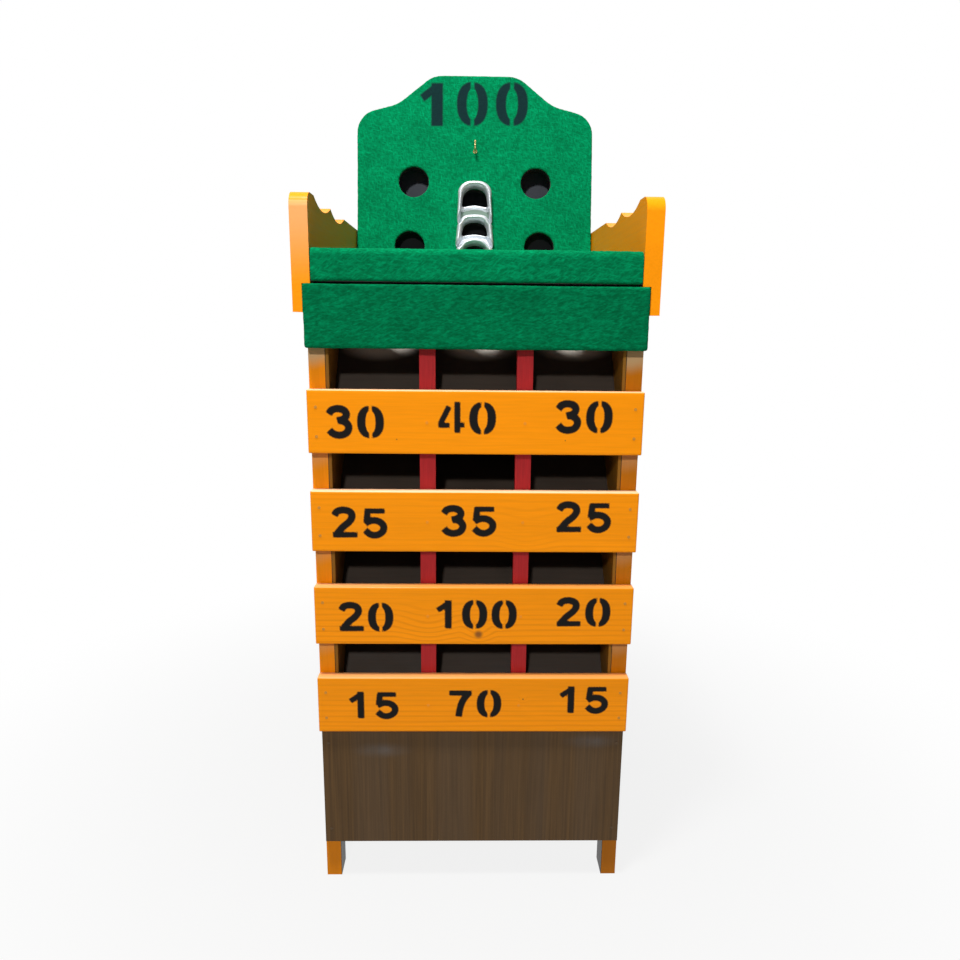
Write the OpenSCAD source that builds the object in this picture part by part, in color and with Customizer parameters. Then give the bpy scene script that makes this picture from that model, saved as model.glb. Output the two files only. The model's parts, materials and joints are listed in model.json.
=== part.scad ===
// Frog toss game: a tall wooden cabinet with score rails, and a target head that lifts off.
// Millimetres, +Z up. The front faces -Y. The origin is on the floor, under the middle of the whole.

/* [Cabinet] */
// Width over the outer faces of the corner posts
body_w = 498; // [440:1:600]
// Depth from the front face of the score rails to the back of the cabinet
body_d = 575; // [540:1:660]
// Height of the cabinet's top, where the head sits
seat_h = 989; // [960:1:1060]
// Height of the feet below the base panel
foot_h = 75; // [30:1:100]
// Width of a corner post, seen from the front
post_w = 25; // [18:1:35]
// Depth of a corner post
post_d = 40; // [25:1:50]
// Height of the frame rails that join the posts
frame_rail_h = 40; // [25:1:50]
// Thickness of the cross rails at the front and the back
cross_rail_t = 20; // [12:1:28]
// Thickness of the laminated side, back and partition panels
panel_t = 5; // [3:0.5:8]
// Thickness of the laminated base panel
base_panel_t = 12; // [8:1:18]
// How far the base panel's sides stand in from the posts' outer faces
base_panel_inset = 2; // [0:0.5:8]

/* [Score rails] */
// How far a score rail's end stands out past the post
rail_over = 1; // [0:0.5:6]
// Height of a score rail
rail_h = 95; // [70:1:110]
// Thickness of a score rail
rail_t = 20; // [15:1:25]
// Open height between two score rails
rail_gap = 58; // [40:1:66]
// Open height between the apron and the top score rail
top_gap = 60; // [40:1:80]
// Distance from the posts' outer faces to the nails
nail_inset = 12; // [8:1:16]
// Distance between the two nails at a rail's end
nail_spread = 44; // [24:1:60]

/* [Apron] */
// Height of the apron with its felt
apron_h = 91; // [60:1:110]
// How far the apron with its felt stands out past the post
apron_over = 1; // [0:0.5:6]
// Thickness of the apron's board
apron_t = 20; // [15:1:25]
// Thickness of the felt
felt_t = 3; // [2:0.5:4]

/* [Dividers and chutes] */
// Distance from the middle to the middle of a red divider batten
divider_x = 73; // [60:1:90]
// Width of a divider batten
batten_w = 24; // [16:1:30]
// Depth of a divider batten
batten_d = 20; // [12:1:30]
// Thickness of a chute floor
chute_t = 6; // [4:0.5:9]
// Distance behind the rails' face at which the top row's chute ends
first_chute_end = 175; // [150:1:195]
// The same for the second row's chute in the two outer columns
second_chute_end = 400; // [320:1:420]

/* [Arms] */
// Thickness of an arm
arm_t = 26; // [22:1:34]
// Height of an arm above the cabinet's top
arm_h = 126; // [90:1:150]
// Thickness of the lap that hangs outside the cabinet
lap_t = 14; // [10:1:18]
// Depth to which the lap hangs down
lap_drop = 40; // [20:1:60]
// Radius of the rounded front corner of an arm
arm_corner_r = 22; // [5:1:40]
// Distance from an arm's front to its first scallop
scallop_start = 50; // [30:1:80]
// Length of a scallop
scallop_len = 138; // [90:1:150]
// Depth of a scallop
scallop_depth = 14; // [6:1:22]

/* [Playing table] */
// Thickness of the table's board
table_t = 15; // [10:1:18]
// Diameter of the target holes
hole_d = 60; // [50:1:70]
// Distance from the middle to the outer holes of the table
table_hole_x = 127; // [120:1:145]
// Distance of the front row of holes behind the rails' face
front_hole_y = 108; // [100:1:120]
// Distance of the rear row of holes behind the rails' face
rear_hole_y = 250; // [240:1:280]
// Height of the front bar with its felt, above the cabinet's top
bar_h = 50; // [35:1:60]
// Thickness of the front bar's board
bar_t = 18; // [14:1:24]
// Height of the shadow gap under the front bar
bar_lift = 3; // [1:0.5:6]

/* [Target board] */
// Gap between the target board's felt and an arm
board_side_gap = 2; // [1:0.5:8]
// Height of the target board with its felt, along its slope
board_h = 430; // [400:1:500]
// Thickness of the target board
board_t = 18; // [12:1:20]
// Angle that the target board leans back
lean = 9.4; // [6:0.2:10]
// Half the length of the crest's flat top
crest_flat = 66; // [40:1:80]
// Radius of the crest's upper corners
crest_r = 50; // [30:1:60]
// Radius of the hollow between the crest and a shoulder
neck_r = 85; // [60:1:100]
// Radius of a shoulder
shoulder_r = 42; // [30:1:55]
// Height from a shoulder's centre to the top of the crest
shoulder_drop = 110; // [100:1:125]
// Slope of the crest's side
crest_slope = 39; // [34:1:46]
// Slope of the shoulder's top
shoulder_slope = 15; // [8:1:20]
// Distance from the middle to the upper holes
upper_hole_x = 123; // [115:1:140]
// Distance from the middle to the lower holes
lower_hole_x = 131; // [120:1:145]
// Height of the upper holes along the board
upper_hole_v = 220; // [200:1:240]
// Height of the lower holes along the board
lower_hole_v = 92; // [80:1:110]

/* [Mouth hoods] */
// Half the width of the upper hood
hood_a = 32.5; // [28:0.5:34]
// How much wider each hood is than the one above it, on each side
hood_spread = 2.3; // [0:0.1:2.5]
// Height of the lower hood
lower_hood_h = 60; // [56:1:64]
// How far a hood stands out from the felt
hood_out = 24; // [14:1:32]
// Length of a hood's legs beside the next hood
leg_len = 16; // [12:1:18]
// Half the width of a mouth
mouth_a = 24; // [18:1:25]
// Height of the upper mouth
upper_mouth_h = 40; // [34:1:44]
// Height of the middle mouth
middle_mouth_h = 31; // [26:1:33]
// Height of the lower mouth
lower_mouth_h = 36; // [26:1:38]
// Distance from the top of a hood to the top of its mouth
mouth_drop = 12; // [9:1:13]
// Height of the top of the upper hood along the board
upper_hood_v = 218.2; // [205:0.1:230]
// Distance from the upper hood's top to the middle hood's top
middle_hood_step = 66.3; // [64:0.1:74]
// Distance from the middle hood's top to the lower hood's top
lower_hood_step = 46.5; // [46:0.5:56]

/* [Rear duct] */
// Depth from the face of the target board's foot to the back panel
duct_d = 105; // [100:1:125]
// Depth of the rear passage, in front of the back panel
rear_passage = 26; // [22:1:28]
// Depth of the passage in front of that one, in the middle column
middle_passage = 21; // [18:1:22]
// Height of the rear duct's roof above the cabinet's top
duct_h = 268; // [262:1:300]
// Thickness of the duct's side boards
duct_side_t = 12; // [8:1:16]
// Height of a partition's top edge above the mouth that it shields, along the board
partition_rise = 13; // [11:1:14]

/* [Hook] */
// Height of the hook's shank along the board
hook_v = 281; // [270:1:300]
// Radius of the hook's wire
hook_wire_r = 1.7; // [1:0.1:2.5]
// How far the hook stands out from the felt
hook_out = 15; // [10:1:22]
// Height of the hook's upright arm
hook_up = 15; // [10:1:20]

/* [Fasteners and fits] */
// Radius of a nail's shank
nail_r = 1.25; // [1:0.05:1.6]
// Radius of a nail's head
nail_head_r = 2.3; // [2:0.1:3]
// Height of a nail's head
nail_head_t = 0.6; // [0.4:0.1:1]
// Length of a nail under its head
nail_len = 36; // [30:1:38]
// Radial clearance round a nail or screw
nail_fit = 0.05; // [0.02:0.01:0.1]
// Clearance under the head, where it rests on the cabinet
seat_gap = 0.3; // [0.2:0.05:0.5]
// Clearance between a lap and the apron's end
lap_gap = 0.5; // [0.3:0.1:2]
// Clearance round pieces that slip past each other
slip = 0.3; // [0.2:0.05:0.5]

/* [Hidden] */

// How far a cut runs past the faces that it opens
over = 1;

// Colours
orange_stain = "#f08a10";
red_paint = "#b02a22";
brown_laminate = "#4a3a28";
green_felt = "#0a8a55";
cast_metal = "#c8ccd0";
brass_metal = "#c8a24a";
nail_steel = "#5a4a3a";

// Main planes of the cabinet, seen from the rails' front face at y = 0
post_x = body_w / 2;
rail_len = body_w + 2 * rail_over;
apron_w = body_w + 2 * apron_over;
base_panel_w = body_w - 2 * base_panel_inset;
nail_x = post_x - nail_inset;
panel_x = post_x - post_w;
inner_x = panel_x - panel_t;
back_y = body_d - panel_t;
rear_post_y = back_y - post_d;
board_foot = back_y - duct_d;
third_chute_end = back_y - rear_passage;
middle_chute_end = third_chute_end - panel_t - middle_passage;
apron_z = seat_h - apron_h;
row_pitch = rail_h + rail_gap;
top_row_z = apron_z - top_gap - rail_h;
last_row = 3;
lowest_row_z = top_row_z - last_row * row_pitch;
frame_mid = (body_d - felt_t) / 2;

// Main planes of the head
head_z = seat_h + seat_gap;
arm_outer_x = post_x + apron_over + lap_gap + lap_t;
arm_inner_x = arm_outer_x - arm_t;
board_w = 2 * (arm_inner_x - board_side_gap);
bar_back_y = felt_t + bar_t;
table_top_z = head_z + table_t;
board_foot_z = head_z + board_t * sin(lean) + slip;
duct_inner_x = arm_inner_x - duct_side_t;
duct_top_z = seat_h + duct_h;
board_back_foot = board_foot + board_t * cos(lean);

// Height along the board of the top of each hood, from the upper one down
hood_tops = [
    upper_hood_v,
    upper_hood_v - middle_hood_step,
    upper_hood_v - middle_hood_step - lower_hood_step
];
upper_partition_v = hood_tops[1] - mouth_drop + partition_rise;
lower_partition_v = hood_tops[2] - mouth_drop + partition_rise;

// Half the width, the mouth's height and the whole height of each hood, with the legs
hood_half_widths = [for (k = [0:2]) hood_a + k * hood_spread];
mouth_heights = [upper_mouth_h, middle_mouth_h, lower_mouth_h];
shoulder_run = 3;
hood_heights = [
    middle_hood_step + leg_len + shoulder_run,
    lower_hood_step + leg_len + shoulder_run,
    lower_hood_h
];
hood_facets = 72;
screw_share = 0.4;
screw_r = 1.6;
screw_head_r = 3.6;
screw_head_t = 2;
screw_bite = 7;

// Height of the foot of row k, where 0 is the top row
function row_z(k) = top_row_z - k * row_pitch;

// Points of an arc round a centre
function arc(c, r, a0, a1, n = 10) =
    [for (i = [0:n]) c + r * [cos(a0 + (a1 - a0) * i / n), sin(a0 + (a1 - a0) * i / n)]];

// Where the plane of the board's back lies at height z
function board_back_at(z) = board_back_foot + (z - board_foot_z + board_t * sin(lean)) * tan(lean);

// Point of a rounded box outline, whose corners come at 45, 135, 225 and 315
function box_point(a, b, p, s) =
    let (u = pow(pow(abs(cos(s)), p) + pow(abs(sin(s)), p), -1 / p))
    [a * u * cos(s), b * u * sin(s)];

// Everything is drawn from the rails' front face and set round the middle of the whole
module placed() {
    translate([0, -frame_mid, 0]) children();
}

// Sets what is drawn on an upright board onto the leaning target board
module on_board() {
    translate([0, board_foot, board_foot_z]) rotate([-lean, 0, 0]) children();
}

module block(x0, x1, y0, y1, z0, z1) {
    translate([x0, y0, z0]) cube([x1 - x0, y1 - y0, z1 - z0]);
}

module pair() {
    children();
    mirror([1, 0, 0]) children();
}

// An outline in the plane of Y and Z, drawn out along X
module side_cut(x0, x1) {
    translate([x0, 0, 0]) rotate([90, 0, 90]) linear_extrude(x1 - x0) children();
}

// Nails

// Places of one rail's nails, along the rail and up from its foot
function rail_nail_places() = [
    for (s = [-1, 1], v = [-0.5, 0.5]) [s * nail_x, rail_h / 2 + v * nail_spread],
    for (s = [-1, 1]) [s * divider_x, rail_h / 2]
];

module nail(clear = 0) {
    rotate([-90, 0, 0]) cylinder(r = nail_r + clear, h = nail_len + clear, $fn = 24);
}

module nail_head() {
    rotate([90, 0, 0]) cylinder(r = nail_head_r, h = nail_head_t, $fn = 24);
}

module all_rail_nails(clear = 0, heads = false) {
    for (k = [0:last_row], p = rail_nail_places()) translate([p[0], 0, row_z(k) + p[1]]) {
        nail(clear);
        if (heads) nail_head();
    }
}

base_nail_edge = 25;

module all_base_nails(clear = 0, heads = false) {
    for (s = [-1, 1], z = [foot_h + base_nail_edge, lowest_row_z - base_nail_edge])
        translate([s * nail_x, rail_t - base_panel_t, z]) {
            nail(clear);
            if (heads) nail_head();
        }
}

arm_nail_inset = 40;
arm_nail_bite = 14;
arm_nail_ys = [bar_back_y + arm_nail_inset, (bar_back_y + board_foot) / 2, board_foot - arm_nail_inset];
arm_nail_z = head_z + table_t / 2;
arm_nail_depth = arm_t + arm_nail_bite;

module all_arm_nails(clear = 0, heads = false) {
    for (y = arm_nail_ys) translate([arm_outer_x, y, arm_nail_z]) {
        rotate([0, -90, 0]) cylinder(r = nail_r + clear, h = arm_nail_depth + clear, $fn = 24);
        if (heads) rotate([0, 90, 0]) cylinder(r = nail_head_r, h = nail_head_t, $fn = 24);
    }
}

module rail_nails() {
    color(nail_steel) placed() all_rail_nails(heads = true);
}

module base_panel_nails() {
    color(nail_steel) placed() all_base_nails(heads = true);
}

module arm_nails() {
    color(nail_steel) placed() pair() all_arm_nails(heads = true);
}

// Frame of the cabinet

module front_post() {
    block(panel_x, post_x, rail_t, rail_t + post_d, 0, seat_h);
}

module front_right_post() {
    color(orange_stain) placed() difference() {
        front_post();
        all_rail_nails(nail_fit);
        all_base_nails(nail_fit);
    }
}

module front_left_post() {
    mirror([1, 0, 0]) front_right_post();
}

module rear_post() {
    block(panel_x, post_x, rear_post_y, back_y, 0, seat_h);
}

module rear_left_post() {
    color(orange_stain) placed() mirror([1, 0, 0]) rear_post();
}

module rear_right_post() {
    color(orange_stain) placed() rear_post();
}

module upper_side_rails() {
    color(orange_stain) placed() pair()
        block(panel_x, post_x, rail_t + post_d, rear_post_y, seat_h - frame_rail_h, seat_h);
}

module lower_side_rails() {
    color(orange_stain) placed() pair()
        block(panel_x, post_x, rail_t + post_d, rear_post_y, foot_h, foot_h + frame_rail_h);
}

module rear_cross_rails() {
    color(orange_stain) placed() for (z = [foot_h, lowest_row_z - frame_rail_h])
        block(-inner_x, inner_x, back_y - cross_rail_t, back_y, z, z + frame_rail_h);
}

module front_cross_rail() {
    color(orange_stain) placed()
        block(-inner_x, inner_x, rail_t, rail_t + cross_rail_t, foot_h, foot_h + frame_rail_h);
}

// Panels

module side_panel() {
    block(inner_x, panel_x, rail_t, back_y, foot_h, seat_h);
}

module left_side_panel() {
    color(brown_laminate) placed() mirror([1, 0, 0]) side_panel();
}

module right_side_panel() {
    color(brown_laminate) placed() side_panel();
}

module back_panel() {
    color(brown_laminate) placed() block(-post_x, post_x, back_y, body_d, foot_h, seat_h);
}

module base_panel() {
    color(brown_laminate) placed() difference() {
        block(-base_panel_w / 2, base_panel_w / 2, rail_t - base_panel_t, rail_t, foot_h, lowest_row_z);
        all_base_nails(nail_fit);
    }
}

// Apron: a board wrapped in felt

module apron_board() {
    color(orange_stain) placed()
        block(-apron_w / 2 + felt_t, apron_w / 2 - felt_t, rail_t - apron_t, rail_t,
            apron_z + felt_t, seat_h - felt_t);
}

module apron_felt() {
    color(green_felt) placed() difference() {
        block(-apron_w / 2, apron_w / 2, rail_t - apron_t - felt_t, rail_t, apron_z, seat_h);
        block(-apron_w / 2 + felt_t, apron_w / 2 - felt_t, rail_t - apron_t, rail_t + felt_t,
            apron_z + felt_t, seat_h - felt_t);
    }
}

// Score rails, from the top row down

module score_rail(k) {
    color(orange_stain) placed() difference() {
        block(-rail_len / 2, rail_len / 2, 0, rail_t, row_z(k), row_z(k) + rail_h);
        all_rail_nails(nail_fit);
    }
}

module score_rail_1() {
    score_rail(0);
}

module score_rail_2() {
    score_rail(1);
}

module score_rail_3() {
    score_rail(2);
}

module score_rail_4() {
    score_rail(3);
}

// Dividers: a red batten at the front and a thin partition behind it

module divider_batten(side) {
    color(red_paint) placed() difference() {
        block(side * divider_x - batten_w / 2, side * divider_x + batten_w / 2,
            rail_t, rail_t + batten_d, lowest_row_z, seat_h);
        all_rail_nails(nail_fit);
    }
}

module left_divider_batten() {
    divider_batten(-1);
}

module right_divider_batten() {
    divider_batten(1);
}

module partition() {
    block(divider_x - panel_t / 2, divider_x + panel_t / 2, rail_t + batten_d, back_y, lowest_row_z, seat_h);
}

module left_partition() {
    color(brown_laminate) placed() mirror([1, 0, 0]) partition();
}

module right_partition() {
    color(brown_laminate) placed() partition();
}

// Chute floors: each row has one in each column, rising from the back of its rail to end_y

module chute_floor(k, x0, x1, end_y) {
    rise = seat_h - slip - row_z(k);
    run = end_y - rail_t;
    thick_z = chute_t * sqrt(run * run + rise * rise) / run;
    difference() {
        side_cut(x0, x1) polygon([
            [rail_t, row_z(k)],
            [end_y, seat_h - slip - thick_z],
            [end_y, seat_h - slip],
            [rail_t, row_z(k) + thick_z]
        ]);
        for (s = [-1, 1])
            block(s * divider_x - batten_w / 2 - slip, s * divider_x + batten_w / 2 + slip,
                rail_t - slip, rail_t + batten_d + slip, row_z(k) - slip, seat_h);
    }
}

module chute_row(k, outer_end, middle_end) {
    color(brown_laminate) placed() {
        pair() chute_floor(k, divider_x + panel_t / 2, inner_x, outer_end);
        chute_floor(k, -divider_x + panel_t / 2, divider_x - panel_t / 2, middle_end);
    }
}

module chute_floors_1() {
    chute_row(0, first_chute_end, first_chute_end);
}

module chute_floors_2() {
    chute_row(1, second_chute_end, middle_chute_end);
}

module chute_floors_3() {
    chute_row(2, third_chute_end, third_chute_end);
}

module chute_floors_4() {
    chute_row(3, back_y, back_y);
}

// Arms: boards with a scalloped top, thick above the cabinet's top and lapped outside it below

module arm_outline() {
    top = seat_h + arm_h;
    difference() {
        polygon(concat(
            [[0, head_z], [back_y, head_z], [back_y, top]],
            arc([arm_corner_r, top - arm_corner_r], arm_corner_r, 90, 180)
        ));
        for (i = [0, 1]) scallop(scallop_start + i * scallop_len, top);
    }
}

module scallop(start, top) {
    r = (scallop_len * scallop_len / 4 + scallop_depth * scallop_depth) / (2 * scallop_depth);
    translate([start + scallop_len / 2, top - scallop_depth + r]) circle(r = r, $fn = 120);
}

module arm() {
    difference() {
        union() {
            side_cut(arm_inner_x, arm_outer_x) arm_outline();
            block(arm_outer_x - lap_t, arm_outer_x, 0, back_y, seat_h - lap_drop, head_z);
        }
        all_arm_nails(nail_fit);
    }
}

module left_arm() {
    color(orange_stain) placed() mirror([1, 0, 0]) arm();
}

module right_arm() {
    color(orange_stain) placed() arm();
}

// Front bar: a board under felt, nailed to the table's front edge

bar_top_z = seat_h + bar_h;
bar_foot_z = head_z + bar_lift;
bar_corner_r = 6;

module bar_profile(grow) {
    r = bar_corner_r + grow;
    y0 = felt_t - grow;
    y1 = bar_back_y + grow;
    z1 = bar_top_z - felt_t + grow;
    polygon(concat(
        [[y0, bar_foot_z], [y1, bar_foot_z]],
        arc([y1 - r, z1 - r], r, 0, 90),
        arc([y0 + r, z1 - r], r, 90, 180)
    ));
}

module front_bar() {
    color(orange_stain) placed() side_cut(-arm_inner_x, arm_inner_x) bar_profile(0);
}

module front_bar_felt() {
    color(green_felt) placed() difference() {
        side_cut(-arm_inner_x + slip, arm_inner_x - slip) bar_profile(felt_t);
        side_cut(-arm_inner_x, arm_inner_x) bar_profile(0);
        block(-arm_inner_x, arm_inner_x, bar_back_y - bar_t / 2, board_foot, 0, table_top_z + felt_t);
        block(-arm_inner_x, arm_inner_x, felt_t, bar_back_y, 0, table_top_z);
    }
}

// Playing table between the bar and the target board

table_holes = [
    [-table_hole_x, front_hole_y], [0, front_hole_y], [table_hole_x, front_hole_y],
    [-table_hole_x, rear_hole_y], [table_hole_x, rear_hole_y]
];

module table_holes_cut() {
    for (p = table_holes) translate([p[0], p[1], head_z - over])
        cylinder(d = hole_d, h = table_t + felt_t + 2 * over, $fn = 72);
}

module playing_table() {
    color(orange_stain) placed() difference() {
        block(-arm_inner_x, arm_inner_x, bar_back_y, board_foot - slip, head_z, table_top_z);
        table_holes_cut();
        pair() all_arm_nails(nail_fit);
    }
}

module table_felt() {
    color(green_felt) placed() difference() {
        block(-arm_inner_x + slip, arm_inner_x - slip, bar_back_y, board_foot - felt_t - slip,
            table_top_z, table_top_z + felt_t);
        table_holes_cut();
    }
}

// Target board: a leaning board with a crest, felt over its front and edges

board_side = board_w / 2 - felt_t;
board_top = board_h - felt_t;

// Points of the board's right half from the foot to the crest; grow sets the felt's outer face off
function board_half(grow) =
    let (
        s_c = [board_side - shoulder_r, board_top - shoulder_drop],
        c_c = [crest_flat, board_top - crest_r],
        n_in = c_c + crest_r * [sin(crest_slope), cos(crest_slope)],
        n_out = s_c + shoulder_r * [sin(shoulder_slope), cos(shoulder_slope)],
        turn = neck_r * [sin(crest_slope) - sin(shoulder_slope), cos(crest_slope) - cos(shoulder_slope)],
        d = n_out - n_in - turn,
        det = sin(crest_slope - shoulder_slope),
        run = (-d[0] * sin(shoulder_slope) - d[1] * cos(shoulder_slope)) / det,
        neck_in = n_in + run * [cos(crest_slope), -sin(crest_slope)],
        n_c = neck_in + neck_r * [sin(crest_slope), cos(crest_slope)]
    )
    concat(
        [[board_side + grow, 0]],
        arc(s_c, shoulder_r + grow, 0, 90 - shoulder_slope, 12),
        arc(n_c, neck_r - grow, 270 - shoulder_slope, 270 - crest_slope, 8),
        arc(c_c, crest_r + grow, 90 - crest_slope, 90, 8)
    );

module board_outline(grow = 0) {
    right = board_half(grow);
    left = [for (i = [len(right) - 1:-1:0]) [-right[i][0], right[i][1]]];
    polygon(concat(right, left));
}

// A flat outline drawn from y0 back to y1 on the board
module board_cut(y0, y1) {
    translate([0, y1, 0]) rotate([90, 0, 0]) linear_extrude(y1 - y0) children();
}

module board_holes_cut() {
    for (s = [-1, 1], p = [[upper_hole_x, upper_hole_v], [lower_hole_x, lower_hole_v]])
        translate([s * p[0], -felt_t - over, p[1]]) rotate([-90, 0, 0])
            cylinder(d = hole_d, h = board_t + felt_t + 2 * over, $fn = 72);
    for (k = [0:2]) board_cut(-felt_t - over, board_t + over)
        translate([0, hood_tops[k]]) polygon(mouth_line(k, slot_gap));
}

// The screws lie beside a mouth, halfway between its edge and the hood's, a share of its height down
function screw_x(k) = (mouth_a + hood_half_widths[k]) / 2;
function screw_v(k) = hood_tops[k] - mouth_drop - screw_share * mouth_heights[k];

module screw_holes_cut() {
    for (k = [0:2], s = [-1, 1]) translate([s * screw_x(k), -felt_t - over, screw_v(k)])
        rotate([-90, 0, 0]) cylinder(r = screw_r + nail_fit, h = board_t + felt_t + 2 * over, $fn = 24);
}

module hook_hole_cut() {
    translate([0, -felt_t - over, hook_v]) rotate([-90, 0, 0])
        cylinder(r = hook_wire_r + nail_fit, h = felt_t + over + hook_bite + nail_fit, $fn = 24);
}

module target_board() {
    color(orange_stain) placed() on_board() difference() {
        board_cut(0, board_t) board_outline();
        board_holes_cut();
        screw_holes_cut();
        hook_hole_cut();
    }
}

// The felt's lower edge is cut level with the table's felt
felt_foot_v = table_t + felt_t + slip;

module target_board_felt() {
    color(green_felt) placed() on_board() difference() {
        board_cut(-felt_t, board_t) board_outline(felt_t);
        board_cut(0, board_t + over) board_outline();
        block(-board_w, board_w, -2 * felt_t, board_t + over, -over, felt_foot_v);
        board_holes_cut();
        screw_holes_cut();
        hook_hole_cut();
    }
}

// Mouth hoods: cast arches, whose legs reach down beside the next one, and a lip and a chin below each mouth

// Powers of the rounded outlines: 2 gives an ellipse, and more gives squarer corners
mouth_p = 2.4;
mouth_foot_p = 7;
hood_top_p = [2.8, 3.8, 2.2];
hood_foot_p = 8;

// The lip's rise in the middle, the widening of mouth and legs towards their foot, and the gaps
lip_rise = 5.7;
shoulder_swell = 1.8;
mouth_taper = 0.24;
slot_gap = 0.5;
hood_gap = 0.3;
shoulder_angle = 28;
shoulder_spread = 22;
arch_inset = 5.5;
leg_flare = 0.15;
rim_lean = 0.14;
chin_start = 0.62;
chin_run = 0.16;

// The mouth's edge, from the hood's top down; grow opens the cut in the board behind it
function mouth_point(k, s, grow = 0) =
    let (
        a = mouth_a + grow,
        b = mouth_heights[k] / 2 + grow,
        q = box_point(a, b, s < 180 ? mouth_p : mouth_foot_p, s),
        lift = q[1] < 0 ? lip_rise * (1 - pow(q[0] / a, 2)) * (-q[1] / b) : 0,
        widening = 1 - mouth_taper * q[1] / mouth_heights[k]
    )
    [q[0] * widening, q[1] + lift - mouth_drop - mouth_heights[k] / 2];

// The upper hood's edge swells at its two shoulders
function shoulder(s, angle) = exp(-pow((s - angle) / shoulder_spread, 2));
function swell(k, s) =
    k == 0 ? shoulder_swell / hood_a * (shoulder(s, shoulder_angle) + shoulder(s, 180 - shoulder_angle)) : 0;

// The lower hoods are drawn in where the legs of the one above stand beside them
function drawn_in(k, depth) =
    let (share = min(1, max(0, (leg_len + shoulder_run - depth) / shoulder_run)))
    k == 0 ? 0 : share * arch_inset / hood_half_widths[k];

function hood_point(k, s) =
    let (
        up = mouth_drop + mouth_heights[k] / 2,
        down = hood_heights[k] - up,
        q = box_point(hood_half_widths[k], s < 180 ? up : down, s < 180 ? hood_top_p[k] : hood_foot_p, s),
        depth = up - q[1],
        flare = leg_flare * pow(depth / hood_heights[k], 2)
    )
    [q[0] * (1 + swell(k, s) - drawn_in(k, depth) + flare), -depth];

function mouth_line(k, grow) =
    [for (i = [0:hood_facets - 1]) mouth_point(k, 360 * i / hood_facets, grow)];

// Stations across a rim, from the hood's edge to the mouth's: how far across, and how far out
arch_stations = [
    [0, 0], [0, 0.5], [0.08, 0.78], [0.25, 0.95], [0.48, 1], [0.72, 0.92], [0.92, 0.7], [1, 0.5], [1, 0]
];
chin_stations = [
    [0, 0], [0, 0.15], [0.3, 0.17], [0.55, 0.18], [0.78, 0.19], [0.86, 0.26], [0.93, 0.42], [1, 0.36], [1, 0]
];

// The chin takes over from the arch's rim below the mouth's corners
function chin_share(s) =
    let (u = min(1, max(0, (-sin(s) - chin_start) / chin_run)))
    u * u * (3 - 2 * u);

function rim_point(k, s, j) =
    let (
        share = chin_share(s),
        station = arch_stations[j] * (1 - share) + chin_stations[j] * share,
        o = hood_point(k, s),
        p = o + (mouth_point(k, s) - o) * station[0]
    )
    [p[0], -felt_t - hood_out * station[1] * (1 - rim_lean + rim_lean * sin(s)), p[1]];

module hood_ring(k) {
    n = hood_facets;
    m = len(arch_stations);
    points = [for (j = [0:m - 1], i = [0:n - 1]) rim_point(k, 360 * i / n, j)];
    faces = [for (j = [0:m - 1], i = [0:n - 1], h = [0, 1])
        let (
            next = (j + 1) % m,
            a = j * n + i,
            b = j * n + (i + 1) % n,
            c = next * n + (i + 1) % n,
            d = next * n + i
        )
        h == 0 ? [a, b, c] : [a, c, d]];
    polyhedron(points, faces, convexity = 6);
}

module hood_outline(k) {
    polygon([for (i = [0:hood_facets - 1]) hood_point(k, 360 * i / hood_facets)]);
}

// A hood is cut away where the next one lies
module hood(k) {
    difference() {
        translate([0, 0, hood_tops[k]]) hood_ring(k);
        if (k < 2) board_cut(-felt_t - 2 * hood_out, board_t) translate([0, hood_tops[k + 1]])
            offset(delta = hood_gap) hood_outline(k + 1);
        for (s = [-1, 1]) translate([s * screw_x(k), -felt_t - screw_bite, screw_v(k)])
            rotate([-90, 0, 0]) cylinder(r = screw_r + nail_fit, h = screw_bite + over, $fn = 24);
    }
}

module upper_hood() {
    color(cast_metal) placed() on_board() hood(0);
}

module middle_hood() {
    color(cast_metal) placed() on_board() hood(1);
}

module lower_hood() {
    color(cast_metal) placed() on_board() hood(2);
}

// Screws come through the board from behind and hold the hoods
module hood_screws() {
    color(nail_steel) placed() on_board() for (k = [0:2], s = [-1, 1])
        translate([s * screw_x(k), 0, screw_v(k)]) {
            translate([0, -felt_t - screw_bite + over, 0]) rotate([-90, 0, 0])
                cylinder(r = screw_r, h = screw_bite - over + felt_t + board_t, $fn = 24);
            translate([0, board_t, 0]) rotate([-90, 0, 0])
                cylinder(r = screw_head_r, h = screw_head_t, $fn = 24);
        }
}

// Hook: a screw-in wire hook with a collar, a bend and an upright arm with a round tip

hook_bend_r = 4;
hook_collar_r = 4.2;
hook_collar_t = 1.4;
hook_bite = 12;
hook_tip_swell = 1.35;

module scoring_hook() {
    color(brass_metal) placed() on_board() translate([0, -felt_t, hook_v]) {
        rotate([-90, 0, 0]) cylinder(r = hook_wire_r, h = felt_t + hook_bite, $fn = 24);
        rotate([90, 0, 0]) cylinder(r = hook_collar_r, h = hook_collar_t, $fn = 36);
        rotate([90, 0, 0]) cylinder(r = hook_wire_r, h = hook_out - hook_bend_r, $fn = 24);
        translate([0, -hook_out + hook_bend_r, hook_bend_r]) rotate([0, 90, 0])
            rotate([0, 0, 270]) rotate_extrude(angle = 90, $fn = 48)
                translate([hook_bend_r, 0]) circle(r = hook_wire_r, $fn = 24);
        translate([0, -hook_out, hook_bend_r])
            cylinder(r = hook_wire_r, h = hook_up - hook_bend_r, $fn = 24);
        translate([0, -hook_out, hook_up]) sphere(r = hook_wire_r * hook_tip_swell, $fn = 24);
    }
}

// Rear duct: carries rings from the board's holes and mouths down to the chutes

module duct_wall_outline() {
    polygon([
        [board_back_at(head_z), head_z],
        [back_y, head_z],
        [back_y, duct_top_z],
        [board_back_at(duct_top_z), duct_top_z]
    ]);
}

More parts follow.
